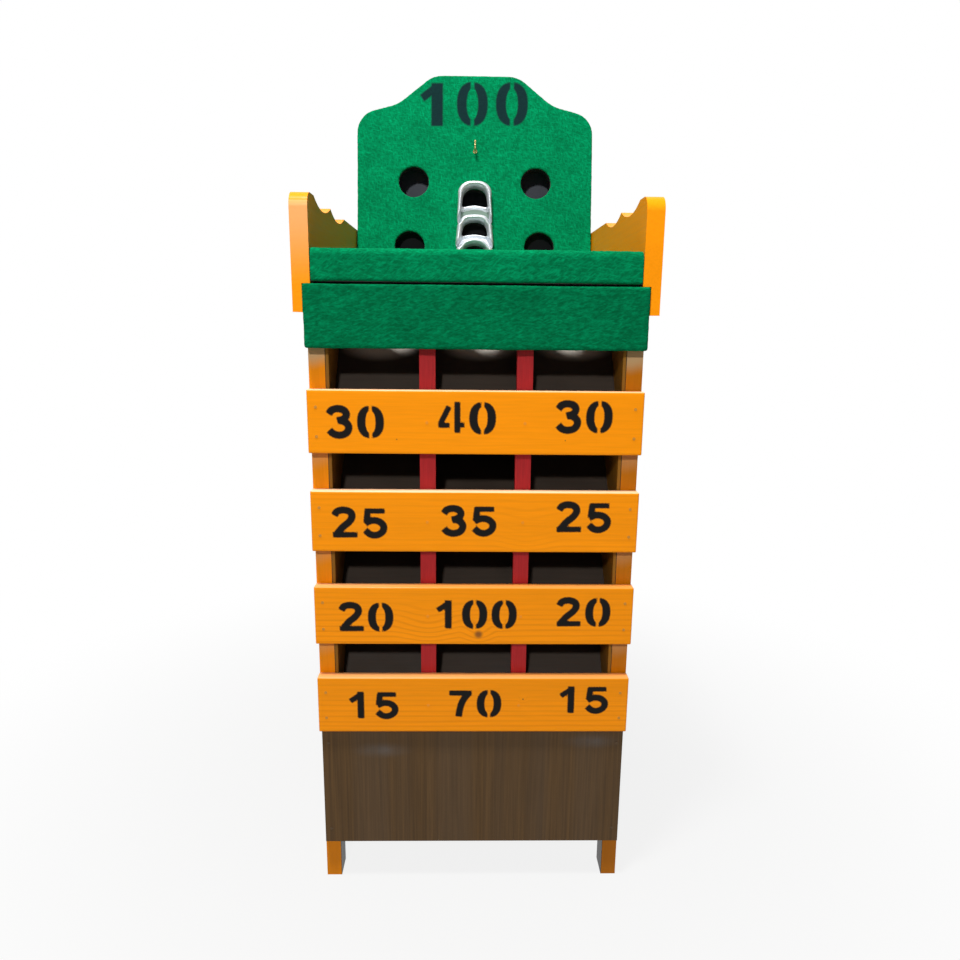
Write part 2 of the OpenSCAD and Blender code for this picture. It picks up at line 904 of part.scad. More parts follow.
module duct_side() {
    side_cut(duct_inner_x, arm_inner_x) duct_wall_outline();
}

module left_duct_side() {
    color(orange_stain) placed() mirror([1, 0, 0]) duct_side();
}

module right_duct_side() {
    color(orange_stain) placed() duct_side();
}

module duct_roof() {
    color(brown_laminate) placed() side_cut(-arm_inner_x, arm_inner_x) polygon([
        [board_back_at(duct_top_z), duct_top_z],
        [body_d, duct_top_z],
        [body_d, duct_top_z + panel_t],
        [board_back_at(duct_top_z + panel_t), duct_top_z + panel_t]
    ]);
}

module duct_back_panel() {
    color(brown_laminate) placed() block(-arm_inner_x, arm_inner_x, back_y, body_d, head_z, duct_top_z);
}

module duct_separators() {
    color(brown_laminate) placed() pair()
        side_cut(divider_x - panel_t / 2, divider_x + panel_t / 2) duct_wall_outline();
}

// A partition leans from foot_y at the cabinet's top to the back of the board at height v along it
module duct_partition(x0, x1, foot_y, v) {
    top_z = board_foot_z + v * cos(lean) - board_t * sin(lean);
    side_cut(x0, x1) polygon([
        [foot_y - panel_t, head_z],
        [foot_y, head_z],
        [board_back_at(top_z), top_z],
        [board_back_at(top_z - 2 * panel_t), top_z - 2 * panel_t]
    ]);
}

module upper_duct_partitions() {
    color(brown_laminate) placed() {
        pair() duct_partition(divider_x + panel_t / 2, duct_inner_x, third_chute_end, upper_partition_v);
        duct_partition(-divider_x + panel_t / 2, divider_x - panel_t / 2, third_chute_end, upper_partition_v);
    }
}

module lower_duct_partition() {
    color(brown_laminate) placed()
        duct_partition(
            -divider_x + panel_t / 2, divider_x - panel_t / 2, middle_chute_end, lower_partition_v
        );
}

front_left_post();
front_right_post();
rear_left_post();
rear_right_post();
upper_side_rails();
lower_side_rails();
rear_cross_rails();
front_cross_rail();
left_side_panel();
right_side_panel();
back_panel();
base_panel();
apron_board();
apron_felt();
score_rail_1();
score_rail_2();
score_rail_3();
score_rail_4();
left_divider_batten();
right_divider_batten();
left_partition();
right_partition();
chute_floors_1();
chute_floors_2();
chute_floors_3();
chute_floors_4();
rail_nails();
base_panel_nails();
left_arm();
right_arm();
front_bar();
front_bar_felt();
playing_table();
table_felt();
target_board();
target_board_felt();
upper_hood();
middle_hood();
lower_hood();
hood_screws();
scoring_hook();
left_duct_side();
right_duct_side();
duct_roof();
duct_back_panel();
duct_separators();
upper_duct_partitions();
lower_duct_partition();
arm_nails();
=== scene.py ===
"""A floor-standing frog toss game: felt covers, stained pine, red battens and cast mouths, in a studio."""

import json
import math

import bpy
import numpy as np
from bpy.props import FloatProperty, FloatVectorProperty, PointerProperty
from mathutils import Matrix, Vector

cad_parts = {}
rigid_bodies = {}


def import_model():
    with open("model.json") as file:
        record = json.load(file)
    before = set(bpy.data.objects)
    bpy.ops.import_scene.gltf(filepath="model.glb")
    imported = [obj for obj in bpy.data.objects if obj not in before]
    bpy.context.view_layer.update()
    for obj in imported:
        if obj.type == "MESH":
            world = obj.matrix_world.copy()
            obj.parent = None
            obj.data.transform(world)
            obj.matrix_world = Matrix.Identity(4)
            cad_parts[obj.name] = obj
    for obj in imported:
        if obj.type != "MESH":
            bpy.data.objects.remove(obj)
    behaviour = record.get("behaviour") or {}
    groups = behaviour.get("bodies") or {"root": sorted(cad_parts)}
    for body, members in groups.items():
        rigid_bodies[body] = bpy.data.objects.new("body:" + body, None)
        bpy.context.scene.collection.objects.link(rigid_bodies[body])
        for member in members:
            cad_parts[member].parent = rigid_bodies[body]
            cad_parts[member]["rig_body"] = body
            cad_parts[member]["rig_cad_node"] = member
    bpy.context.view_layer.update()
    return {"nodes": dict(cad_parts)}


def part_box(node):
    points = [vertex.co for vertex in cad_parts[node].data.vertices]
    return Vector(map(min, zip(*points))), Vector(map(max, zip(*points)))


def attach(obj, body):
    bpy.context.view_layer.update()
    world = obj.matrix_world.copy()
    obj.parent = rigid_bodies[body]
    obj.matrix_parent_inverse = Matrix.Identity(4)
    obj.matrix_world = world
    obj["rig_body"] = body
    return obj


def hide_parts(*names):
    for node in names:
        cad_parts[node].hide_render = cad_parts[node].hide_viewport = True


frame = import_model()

bl_info = {
    "name": "Frog toss game",
    "version": (1, 0, 0),
    "blender": (4, 5, 0),
    "location": "View3D > Sidebar > Frog Toss",
    "description": "Dresses the game's cabinet, head, score rails and cast mouths",
    "category": "Object",
}

MM = 0.001

# The target board leans back from its foot on the cabinet's top
BOARD_LEAN = math.radians(9.4)
BOARD_FOOT = Vector((0, 179 * MM, 992.54 * MM))
ON_BOARD = Matrix.Translation(BOARD_FOOT) @ Matrix.Rotation(-BOARD_LEAN, 4, "X")

# Heights of the apron's lower edge and from rail to rail
APRON_FOOT = 0.898
RAIL_STEP = 0.153

RAILS = ["score_rail_1", "score_rail_2", "score_rail_3", "score_rail_4"]
HOODS = ["upper_hood", "middle_hood", "lower_hood"]
# Chins of the mouths, in millimetres: heights up the board of their lower end and of the lip over them,
# and half their width
CHINS = [(146, 164.8, 29), (101, 106, 31), (30, 52, 32)]
# The board's holes, x and height up the board of their centres, in millimetres
HOLES = [(-123, 220), (123, 220), (-131, 92), (131, 92)]
HOLE_RADIUS = 31.5


def linear(hex_colour):
    """An sRGB hex colour as a linear colour with alpha."""
    value = hex_colour.lstrip("#")
    parts = [int(value[i : i + 2], 16) / 255 for i in (0, 2, 4)]
    return (*[c / 12.92 if c <= 0.04045 else ((c + 0.055) / 1.055) ** 2.4 for c in parts], 1.0)


def colour_prop(name, description, hex_colour):
    """A colour setting whose default is a hex value."""
    return FloatVectorProperty(
        name=name, description=description, subtype="COLOR", size=4, min=0, max=1, default=linear(hex_colour)
    )


def length_prop(name, description, millimetres):
    """A length setting whose default is given in millimetres."""
    return FloatProperty(
        name=name, description=description, default=millimetres * MM, min=0, unit="LENGTH", subtype="DISTANCE"
    )


class GameSizes(bpy.types.PropertyGroup):
    """Sizes of the finish that a maker would change."""

    board_edge: length_prop("Board edge", "Rounding of the planed boards' edges", 1.8)
    panel_edge: length_prop("Panel edge", "Rounding of the thin panels' edges", 0.5)
    rail_pitch: length_prop("Rail mesh", "Spacing of the score rails' mesh under the paint", 2.6)
    felt_pitch: length_prop("Felt mesh", "Spacing of the felt's mesh", 2.2)
    felt_wall: length_prop("Felt thickness", "Thickness of the felt", 2.8)
    nap_height: length_prop("Nap height", "How far the felt's nap rises and falls", 0.9)
    nap_size: length_prop("Nap size", "Width of the tufts of the nap", 7)
    casting_pitch: length_prop("Casting mesh", "Spacing of the cast mouths' mesh", 0.7)
    stencil_blur: length_prop("Paint edge", "Softness of the sprayed numbers' edges", 0.9)


class GameColours(bpy.types.PropertyGroup):
    """Colours of the finishes."""

    stain: colour_prop("Stain", "Orange stain on the planed boards", "#fd9602")
    stain_dark: colour_prop("Stain in the grain", "Where the stain gathers in late wood", "#cf6c04")
    inner_stain: colour_prop("Inner stain", "Thin stain on the side panels' inner faces", "#94651e")
    # Painted reflection: the pale band on the posts under the apron and the rails
    under_rail_sheen: colour_prop("Thin stain", "Places where the brush left little stain", "#c3a276")
    knot: colour_prop("Knot", "Small knots and resin specks in the pine", "#6e4220")
    felt: colour_prop("Felt", "Green felt where its hairs catch the light", "#00935d")
    felt_deep: colour_prop("Felt, deep", "Green felt between the hairs", "#006a3f")
    stencil: colour_prop("Stencil paint", "Black paint of the numbers", "#0c0a08")
    felt_paint: colour_prop("Paint on felt", "Paint that has soaked into the felt", "#121f27")
    batten_red: colour_prop("Batten red", "Enamel on the divider battens", "#b3262a")
    laminate: colour_prop("Laminate", "Brown panels", "#624829")
    laminate_dark: colour_prop("Laminate figure", "Dark figure in the brown panels", "#45331f")
    chute_brown: colour_prop("Chutes", "Worn brown board of the chutes", "#41372f")
    # Painted pools of light, where light through the table's holes falls on the upper chutes
    rubbed: colour_prop("Rubbed", "Where rings drop on the upper chutes", "#d8d0c4")
    duct_grey: colour_prop("Duct", "Grey priming inside the rear duct", "#575c64")
    # Painted shade: near black for the partitions seen in the lower holes
    partition_shade: colour_prop("Partitions", "Dark paint of the duct's partitions", "#19191c")
    haze: colour_prop("Haze", "Pale scuffs on the front panel", "#70757a")
    bare_wood: colour_prop("Bare wood", "Unfinished pine inside", "#c9a070")
    casting: colour_prop("Casting", "Cast aluminium of the mouths", "#d9dde2")
    # Partly painted: real dullness, with the green felt's reflection and shade painted into the chins' colour
    chin_tarnish_and_reflection: colour_prop("Tarnish", "Dull chins of the mouths, which nobody rubs", "#687c70")
    # Painted sheen on the left arm's front
    painted_sheen: colour_prop("Faded stain", "Where hands and sun have bleached the left arm", "#f9b27c")
    brass: colour_prop("Brass", "The scoring hook", "#f2dc98")
    nail: colour_prop("Nails", "Nails in the brown panels and the arms", "#5a4630")
    varnished_nail: colour_prop("Varnished nails", "Nails in the rails, under the stain", "#d08a24")


def sizes():
    return bpy.context.scene.game_sizes


def colours():
    return bpy.context.scene.game_colours


# Mesh work


def select_only(*objects):
    """Selects these objects alone, and makes the first one active."""
    bpy.ops.object.select_all(action="DESELECT")
    for o in objects:
        o.select_set(True)
    bpy.context.view_layer.objects.active = objects[0]


def finish_modifier(piece, kind, **settings):
    """Adds a modifier and applies it."""
    select_only(piece)
    modifier = piece.modifiers.new(kind.lower(), kind)
    for key, value in settings.items():
        setattr(modifier, key, value)
    bpy.ops.object.modifier_apply(modifier=modifier.name)


def edit(piece, work):
    """Runs work in edit mode on one piece."""
    select_only(piece)
    bpy.ops.object.mode_set(mode="EDIT")
    work()
    bpy.ops.object.mode_set(mode="OBJECT")


def read(piece, what="vertices", field="co"):
    """The vertices' places, or another field, as rows of numbers."""
    items = getattr(piece.data, what)
    values = np.zeros(len(items) * 3)
    items.foreach_get(field, values)
    return values.reshape(-1, 3)


def pick(piece, what, chosen):
    """Selects the vertices, edges or faces that chosen marks, and nothing else."""
    kinds = ("vertices", "edges", "polygons")
    bpy.context.tool_settings.mesh_select_mode = tuple(kind == what for kind in kinds)
    for kind in kinds:
        items = getattr(piece.data, kind)
        items.foreach_set("select", np.zeros(len(items), bool))
    getattr(piece.data, what).foreach_set("select", np.asarray(chosen, bool))


def drop_faces(piece, chosen):
    """Deletes the faces that chosen marks."""
    pick(piece, "polygons", chosen)
    edit(piece, lambda: bpy.ops.mesh.delete(type="FACE"))


def merged_copy(name, *nodes):
    """One merged mesh of copies of CAD nodes, which stay as they are."""
    select_only(*[frame["nodes"][n] for n in nodes])
    bpy.ops.object.duplicate()
    piece = bpy.context.selected_objects[0]
    bpy.context.view_layer.objects.active = piece
    bpy.ops.object.parent_clear(type="CLEAR_KEEP_TRANSFORM")
    if len(nodes) > 1:
        bpy.ops.object.join()
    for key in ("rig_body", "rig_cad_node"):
        del piece[key]
    piece.name = piece.data.name = name
    pick(piece, "vertices", np.ones(len(piece.data.vertices)))
    edit(piece, lambda: bpy.ops.mesh.remove_doubles(threshold=0.01 * MM))
    return piece


def long_edges(piece, axis, least):
    """Marks the edges that run along an axis and are longer than least."""
    places = read(piece)
    ends = np.zeros(len(piece.data.edges) * 2, int)
    piece.data.edges.foreach_get("vertices", ends)
    ends = ends.reshape(-1, 2)
    run = np.abs(places[ends[:, 0]] - places[ends[:, 1]])
    across = np.delete(run, axis, axis=1).max(axis=1)
    return (run[:, axis] > least) & (across < 0.01 * MM)


def cut_edges(piece, chosen, cuts):
    pick(piece, "edges", chosen)
    edit(piece, lambda: bpy.ops.mesh.subdivide(number_cuts=cuts, quadcorner="INNERVERT"))


def round_normals(piece, degrees=40):
    select_only(piece)
    bpy.ops.object.shade_smooth_by_angle(angle=math.radians(degrees))


def finish_piece(piece, body, slot, material, *stands_for):
    """Puts a finished piece on its body with its material."""
    piece.data.materials.clear()
    piece.data.materials.append(material)
    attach(piece, body)
    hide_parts(*stands_for)
    return piece


# The sprayed numbers: strokes of a stencil, in millimetres, each numeral about 38 wide and 48 high


def spline(points, steps=8):
    """A smooth line through the points."""
    p = np.array([points[0], *points, points[-1]], float)
    t = np.linspace(0, 1, steps, endpoint=False)[:, None]
    runs = [
        0.5
        * (
            2 * p[i]
            + (p[i + 1] - p[i - 1]) * t
            + (2 * p[i - 1] - 5 * p[i] + 4 * p[i + 1] - p[i + 2]) * t**2
            + (3 * p[i] - p[i - 1] - 3 * p[i + 1] + p[i + 2]) * t**3
        )
        for i in range(1, len(p) - 2)
    ]
    return np.concatenate([*runs, p[-1:]])


def stroke(at, line, half):
    """How far the points lie inside a stroke with square ends."""
    best = np.full(len(at), 1e9)
    depth = np.full(len(at), -1e9)
    lengths = np.linalg.norm(np.diff(line, axis=0), axis=1)
    start = np.concatenate([[0], np.cumsum(lengths)])
    for i, length in enumerate(lengths):
        along = (line[i + 1] - line[i]) / length
        t = (at - line[i]) @ along
        held = np.clip(t, 0, length)
        gap = np.linalg.norm(at - line[i] - held[:, None] * along, axis=1)
        free = t if i == 0 else held
        free = np.maximum(free, t) if i == len(lengths) - 1 else free
        side = np.linalg.norm(at - line[i] - free[:, None] * along, axis=1)
        value = np.minimum(half - side, np.minimum(start[i] + free, start[-1] - start[i] - free))
        depth = np.where(gap < best, value, depth)
        best = np.minimum(best, gap)
    return depth


def oval(at, a, b, power):
    """How far the points lie inside an oval."""
    k = ((np.abs(at[:, 0]) / a) ** power + (np.abs(at[:, 1]) / b) ** power) ** (1 / power) + 1e-6
    return (1 - k) * np.linalg.norm(at, axis=1) / k


# Each stroke is its points, half its width, and whether it is a smooth curve
NUMERALS = {
    "1": [([(4.9, -23), (4.9, 23)], 4.9, False), ([(5, 18.5), (-11.5, 7)], 4, False)],
    # A stem alone, which makes the crest's 1 wider
    "|": [([(4.9, -23), (4.9, 23)], 4.9, False)],
    "2": [
        ([
            (-14.5, 11.5), (-10.5, 17.6), (-1, 20), (9, 17.2), (12, 9.8), (7, 1), (-3, -7.5), (-12.5, -19),
        ], 5, True),
        ([(-17.5, -19.4), (19.3, -19)], 3.9, False),
    ],
    "3": [
        ([(-14.8, 11.8), (-10.5, 17.2), (-2, 19.6), (7.5, 17.4), (11, 11), (7, 4.4), (-2.5, 1.6)], 5, True),
        ([
            (-1.5, 1.6), (5, 1.4), (12, -3), (14, -9.5), (9.8, -17), (0, -20), (-9, -17.8), (-14.5, -12.5),
        ], 5, True),
    ],
    "4": [
        ([(-3.5, 17), (-16, -8)], 3.7, False),
        ([(-19, -11), (-3, -10.6)], 3.3, False),
        ([(8.9, -21.5), (8.9, 24)], 4, False),
        ([(8, -10), (19, -10)], 3.3, False),
    ],
    "5": [
        ([(-14, 18.6), (15, 18.6)], 3.6, False),
        ([(-10.5, 20), (-12.6, 0)], 4.4, False),
        ([
            (-14.5, -0.6), (-5, 3.6), (6, 2.4), (13.2, -4.6), (11.8, -13.6), (3, -19.3), (-7, -18.4),
            (-14.6, -12),
        ], 4.9, True),
    ],
    "7": [
        ([(-17.5, 18.6), (18, 18.6)], 4, False),
        ([(13.5, 19), (4, 5), (-0.5, -9), (-2.5, -22.5)], 5, True),
    ],
}
STENCIL_GAP = 2.7
NUMERAL_STEP = 46.4


def numeral(at, digit):
    """How far the points lie inside one numeral."""
    if digit == "0":
        ring = np.minimum(oval(at, 19.4, 23.8, 2.3), -oval(at, 7.8, 18, 2))
        return np.minimum(ring, np.abs(at[:, 0]) - STENCIL_GAP)
    depths = []
    for points, half, smooth in NUMERALS[digit]:
        line = spline(points) if smooth else np.array(points, float)
        depths.append(stroke(at, line, half))
    return np.max(depths, axis=0)


def mark(piece, name, values):
    """Keeps a number on each vertex, for the piece's material."""
    attribute = piece.data.attributes.new(name, "FLOAT", "POINT")
    attribute.data.foreach_set("value", values.astype(np.float32))


def paint_number(piece, flat, words, least=-8.0):
    """Marks how far each vertex lies inside the numbers, in millimetres. Flat has the vertices' places on the
    painted face, and each word is its digits, x, z and its stretch along both."""
    depth = np.full(len(flat), least)
    for digits, x, z, wide, high in words:
        for i, digit in enumerate(digits):
            centre = np.array([x + (i - (len(digits) - 1) / 2) * NUMERAL_STEP * wide, z])
            scaled = (flat - centre) / (wide, high)
            near = np.all(np.abs(scaled) < 34, axis=1)
            if near.any():
                # The sprayed paint creeps 0.6 mm under the stencil
                depth[near] = np.maximum(depth[near], numeral(scaled[near], digit) * min(wide, high) + 0.6)
    mark(piece, "stencil", np.clip(depth, least, 8))


# Materials


def plug(tree, node, inputs):
    """Links the node's sockets to other nodes, or sets them to plain values."""
    for key, value in inputs.items():
        if isinstance(value, bpy.types.NodeSocket):
            tree.links.new(value, node.inputs[key])
        else:
            node.inputs[key].default_value = value


def add_node(tree, kind, inputs=None, **settings):
    """Adds a node, sets what it is told and plugs in its inputs."""
    node = tree.nodes.new("ShaderNode" + kind)
    for key, value in settings.items():
        setattr(node, key, value)
    plug(tree, node, inputs or {})
    return node


def calc(tree, operation, *values):
    """Reckons with one or two numbers from nodes or plain ones."""
    return add_node(tree, "Math", dict(enumerate(values)), operation=operation).outputs[0]


def coord(tree, vector, axis):
    """One coordinate of a vector."""
    return add_node(tree, "SeparateXYZ", {"Vector": vector}).outputs[axis]


def noise(tree, place, scale, detail, roughness=0.5):
    inputs = {"Vector": place, "Scale": scale, "Detail": detail, "Roughness": roughness}
    return add_node(tree, "TexNoise", inputs).outputs["Fac"]


def span(tree, value, start, stop, low, high, smooth=False):
    """Maps the values from start to stop onto those from low to high, and holds them there."""
    inputs = {"Value": value, "From Min": start, "From Max": stop, "To Min": low, "To Max": high}
    kind = "SMOOTHSTEP" if smooth else "LINEAR"
    return add_node(tree, "MapRange", inputs, interpolation_type=kind).outputs[0]


def start_material(name):
    """An empty material with its shader: the tree, the shader and the object's own coordinates."""
    material = bpy.data.materials.new(name)
    material.use_nodes = True
    tree = material.node_tree
    shader = tree.nodes["Principled BSDF"]
    place = add_node(tree, "TexCoord").outputs["Object"]
    return material, tree, shader, place


def ramp(tree, factor, *stops):
    """A colour ramp over (position, colour) stops."""
    node = add_node(tree, "ValToRGB", {"Fac": factor})
    elements = node.color_ramp.elements
    while len(elements) < len(stops):
        elements.new(0.5)
    for element, (position, colour) in zip(elements, stops):
        element.position = position
        element.color = colour
    return node.outputs["Color"]


def greys(tree, factor, *stops):
    """A ramp over (position, level) stops."""
    return ramp(tree, factor, *[(position, grey(level)) for position, level in stops])


def blend(tree, factor, first, second, how="MIX"):
    """Mixes two colours."""
    inputs = {0: factor, 6: first, 7: second}
    return add_node(tree, "Mix", inputs, data_type="RGBA", blend_type=how).outputs[2]


def times(tree, first, second):
    """Multiplies two colours."""
    return blend(tree, 1.0, first, second, "MULTIPLY")


def bump(tree, height, distance, strength=1.0):
    inputs = {"Height": height, "Distance": distance, "Strength": strength}
    return add_node(tree, "Bump", inputs).outputs["Normal"]


def grey(level):
    return (level, level, level, 1.0)


def drawn_out(tree, place, along, squeeze, shift=(0, 0, 0)):
    """Coordinates in which a pattern is drawn out along an axis."""
    scale = [squeeze if axis == along else 1 for axis in "XYZ"]
    return add_node(tree, "Mapping", {"Vector": place, "Location": shift, "Scale": scale}).outputs[0]


def far_from(tree, place, x, z, wide=1, high=1):
    """How far the points lie from a spot at x and z in millimetres, with these axes stretched."""
    flat = add_node(tree, "VectorMath", {0: place, 1: (wide, 0, high)}, operation="MULTIPLY").outputs[0]
    centre = (wide * x * MM, 0, high * z * MM)
    return add_node(tree, "VectorMath", {0: flat, 1: centre}, operation="DISTANCE").outputs["Value"]


def off_middle(tree, place):
    """How far the points lie to either side of the game's middle."""
    return calc(tree, "ABSOLUTE", coord(tree, place, "X"))


def stained_pine(
    name, along, shift, figure=0.2, tone=1.0, knots=(), stencilled=False, painted_light_on_posts=False, painted_sheen=False, edge_highlight=0.0,
    top=0.0,
):
    """Planed pine, brushed with orange stain and varnished: even colour, faint rings and a clear, soft shine.
    Each knot is x and z, the radius of its heart and of the grain that bends round it, in millimetres.
    A tone below 1 darkens the wood. The upper edge, at top metres, is paled by the given share, as a painted
    highlight."""
    material, tree, shader, place = start_material(name)
    grain_place = drawn_out(tree, place, along, 0.05, shift)
    bend = None
    hearts = []
    for x, z, heart, reach in knots:
        far = far_from(tree, place, x, z)
        swirl = span(tree, far, 0, reach * MM, 9.0, 0.0, smooth=True)
        bend = swirl if bend is None else calc(tree, "ADD", bend, swirl)
        if heart > 0:
            hearts.append(span(tree, far, 0.3 * heart * MM, 1.3 * heart * MM, 0.85, 0.0, smooth=True))
    # Growth rings about 9 mm apart where a plain-sawn face cuts them
    ring_inputs = {"Vector": grain_place, "Scale": 35, "Distortion": 3.5, "Detail": 2, "Detail Scale": 1.2}
    if bend is not None:
        ring_inputs["Phase Offset"] = bend
    rings = add_node(tree, "TexWave", ring_inputs, wave_type="RINGS", rings_direction=along).outputs["Fac"]
    # Streaks about 3 mm wide and 60 mm long, and clouds of stain about 90 mm long
    streaks = noise(tree, grain_place, 330, 3)
    clouds = noise(tree, grain_place, 13, 2)
    late_wood = greys(tree, rings, (0.55, 0), (0.97, figure))
    late_wood = times(tree, late_wood, greys(tree, clouds, (0.42, 0.2), (0.58, 1.0)))
    colour = blend(tree, late_wood, colours().stain, colours().stain_dark)
    colour = times(tree, colour, greys(tree, streaks, (0.35, 0.94), (0.65, 1.0)))
    clouded = greys(tree, clouds, (0.3, 0.9 * tone), (0.6, tone))
    colour = times(tree, colour, clouded)
    for heart in hearts:
        colour = blend(tree, heart, colour, colours().knot)
    if painted_light_on_posts:
        # Painted reflection: a pale band just under the apron and each rail stands in for the varnish's pale
        # reflection in the shade there
        height = coord(tree, place, "Z")
        below = calc(tree, "MODULO", calc(tree, "SUBTRACT", APRON_FOOT, height), RAIL_STEP)
        below = calc(tree, "ADD", below, span(tree, clouds, 0, 1, -0.02, 0.02))
        thin = span(tree, below, 0.004, 0.03, 0.9, 0.0, smooth=True)
        # The painted band is strongest under the apron
        thin = calc(tree, "MULTIPLY", thin, span(tree, height, 0.74, 0.84, 0.4, 1.0))
        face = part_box("front_left_post")[0].y + 1.5 * MM
        front = calc(tree, "LESS_THAN", coord(tree, place, "Y"), face)
        colour = blend(tree, calc(tree, "MULTIPLY", thin, front), colour, colours().under_rail_sheen)
        # The posts darken towards their feet
        foot = span(tree, height, 0.07, 0.3, 0.5, 1.0)
        colour = blend(tree, foot, times(tree, colour, linear("#b4b0a8")), colour)
        # Painted shade: the posts' inner faces are made dark brown, standing in for the shade on the feet's
        # inner sides
        inner_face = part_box("front_right_post")[0].x + 0.6 * MM
        inner = calc(tree, "LESS_THAN", off_middle(tree, place), inner_face)
        colour = blend(tree, inner, colour, linear("#2c2219"))
    if painted_sheen:
        # Painted sheen: the front face pales from the table up, standing in for the soft reflection on the
        # varnish
        sheen_mask = span(tree, coord(tree, place, "Z"), 0.98, 1.09, 0.0, 0.6, smooth=True)
        front = calc(tree, "LESS_THAN", coord(tree, place, "Y"), -0.284)
        colour = blend(tree, calc(tree, "MULTIPLY", sheen_mask, front), colour, colours().painted_sheen)
    roughness = greys(tree, streaks, (0.3, 0.34), (0.7, 0.44))
    if edge_highlight:
        # Painted highlight: the top edge pales, standing in for the light on the rounded arris
        highlight_mask = span(tree, coord(tree, place, "Z"), top - 1.4 * MM, top - 0.4 * MM, 0, edge_highlight)
        highlight_mask = calc(tree, "MULTIPLY", highlight_mask, greys(tree, clouds, (0.4, 0.3), (0.55, 1)))
        colour = blend(tree, highlight_mask, colour, linear("#ffdcb8"))
    if stencilled:
        depth = add_node(tree, "Attribute", attribute_name="stencil").outputs["Fac"]
        edge = calc(tree, "ADD", depth, span(tree, noise(tree, place, 500, 2), 0, 1, -0.9, 0.9))
        blur = sizes().stencil_blur / MM
        cover = span(tree, edge, -blur, blur, 0, 1)
        colour = blend(tree, cover, colour, colours().stencil)
        roughness = blend(tree, cover, roughness, grey(0.7))
    plug(tree, shader, {
        "Base Color": colour, "Roughness": roughness, "Normal": bump(tree, streaks, 0.06 * MM),
        "Specular IOR Level": 0.08, "Coat Weight": 0.12, "Coat Roughness": 0.2,
    })
    return material


def bare_pine(name, along):
    """Sawn pine without finish, dry and pale, for the frame that nobody sees."""
    material, tree, shader, place = start_material(name)
    grain_place = drawn_out(tree, place, along, 0.05)
    ring_inputs = {"Vector": grain_place, "Scale": 40, "Distortion": 4, "Detail": 2}
    rings = add_node(tree, "TexWave", ring_inputs, wave_type="RINGS", rings_direction=along).outputs["Fac"]
    fibres = noise(tree, grain_place, 700, 3)
    tone = greys(tree, rings, (0.2, 1.0), (1.0, 0.72))
    colour = times(tree, colours().bare_wood, tone)
    colour = times(tree, colour, greys(tree, fibres, (0.3, 0.85), (0.7, 1.05)))
    plug(tree, shader, {"Base Color": colour, "Normal": bump(tree, fibres, 0.2 * MM), "Roughness": 0.75})
    return material


def brown_laminate(name, along, hazed=False, within=0.0):
    """Hardboard with a printed walnut laminate: straight fine figure under a dull satin film.
    A panel has thin orange stain on its inner side, which ends within millimetres from the middle."""
    material, tree, shader, place = start_material(name)
    figure_place = drawn_out(tree, place, along, 0.015)
    # Printed figure in stripes about 4 mm wide, broad shades of about 50 mm and fine pores of about 1 mm
    stripes = noise(tree, figure_place, 230, 3)
    shades = noise(tree, figure_place, 20, 2)
    pores = noise(tree, figure_place, 800, 2)
    colour = ramp(tree, stripes, (0.2, colours().laminate_dark), (0.8, colours().laminate))
    colour = blend(tree, greys(tree, shades, (0.4, 0), (0.6, 0.4)), colour, linear("#544434"))
    colour = times(tree, colour, greys(tree, pores, (0.35, 0.86), (0.6, 1.0)))
    if within > 0:
        inner = calc(tree, "LESS_THAN", off_middle(tree, place), within * MM)
        stained = times(tree, colours().inner_stain, greys(tree, shades, (0.3, 0.8), (0.7, 1.0)))
        colour = blend(tree, inner, colour, stained)
    # Dull scuffs where feet and knees have rubbed
    scuffs = noise(tree, place, 9, 6, 0.7)
    roughness = greys(tree, scuffs, (0.45, 0.46), (0.62, 0.54))
    if hazed:
        # Pale rubbed places, a hand wide, near the panel's upper corners
        cloud = noise(tree, place, 45, 3)
        for x, z in ((-150, 246), (196, 262)):
            near = span(tree, far_from(tree, place, x, z, 0.5, 1.6), 0, 0.028, 0.36, 0.0, smooth=True)
            colour = blend(tree, calc(tree, "MULTIPLY", near, cloud), colour, colours().haze)
    plug(tree, shader, {
        "Base Color": colour, "Roughness": roughness, "Normal": bump(tree, pores, 0.05 * MM),
        "Specular IOR Level": 0.15,
    })
    return material


def chute_board(name, paint, light_spots=()):
    """Hardboard painted brown, dulled grey where rings slide: flat and nearly without figure.
    Each light spot is x and z of a painted pool of light, where light through the table's holes falls, in
    millimetres."""
    material, tree, shader, place = start_material(name)
    # Brush marks across the chute about 3 mm wide, and dusty clouds of about 60 mm
    brush_place = drawn_out(tree, place, "X", 0.04)
    brush = noise(tree, brush_place, 330, 3)
    dust = noise(tree, place, 17, 4)
    colour = times(tree, paint, greys(tree, brush, (0.3, 0.88), (0.7, 1.0)))
    colour = times(tree, colour, greys(tree, dust, (0.35, 0.85), (0.65, 1.0)))
    # Painted pools of light at the listed spots
    for x, z in light_spots:
        near = span(tree, far_from(tree, place, x, z, 0.4), 0.012, 0.03, 0.9, 0.0, smooth=True)
        colour = blend(tree, near, colour, colours().rubbed)
    plug(tree, shader, {
        "Base Color": colour, "Roughness": greys(tree, dust, (0.35, 0.5), (0.65, 0.7)),
        "Normal": bump(tree, brush, 0.06 * MM), "Specular IOR Level": 0.15,
    })
    return material


